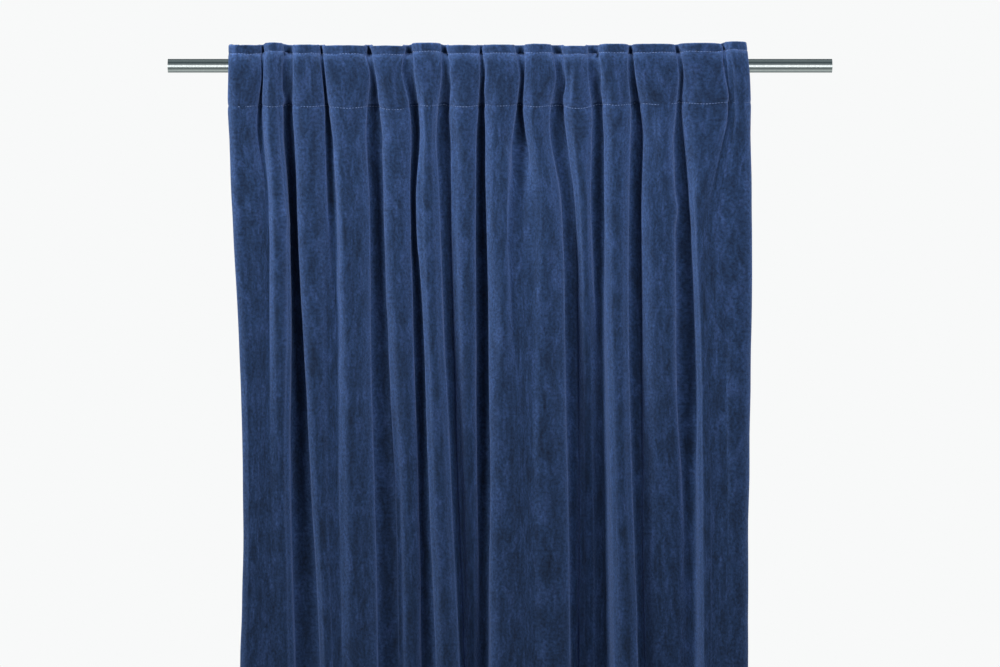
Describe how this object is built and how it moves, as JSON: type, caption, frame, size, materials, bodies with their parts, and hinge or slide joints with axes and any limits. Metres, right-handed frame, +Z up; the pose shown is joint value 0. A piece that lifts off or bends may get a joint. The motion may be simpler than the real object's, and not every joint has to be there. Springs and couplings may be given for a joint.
{
  "type": "velvet drape on a curtain rod",
  "caption": "Full-length velvet drape with a stitched rod pocket and small heading, gathered into uneven folds on a plain round steel curtain rod.",
  "frame": {"origin": "on the rod's axis, half-way along the rod", "axes": "+Z up, +X along the rod to the right as seen from the face, -Y out of the drape's face"},
  "size_m": [0.92, 0.0589, 2.4995],
  "materials": {
    "velvet": "dark blue cotton velvet, soft pile",
    "steel": "smooth brushed steel"
  },
  "bodies": {
    "root": {"drape": "velvet", "rod": "steel"}
  },
  "joints": []
}
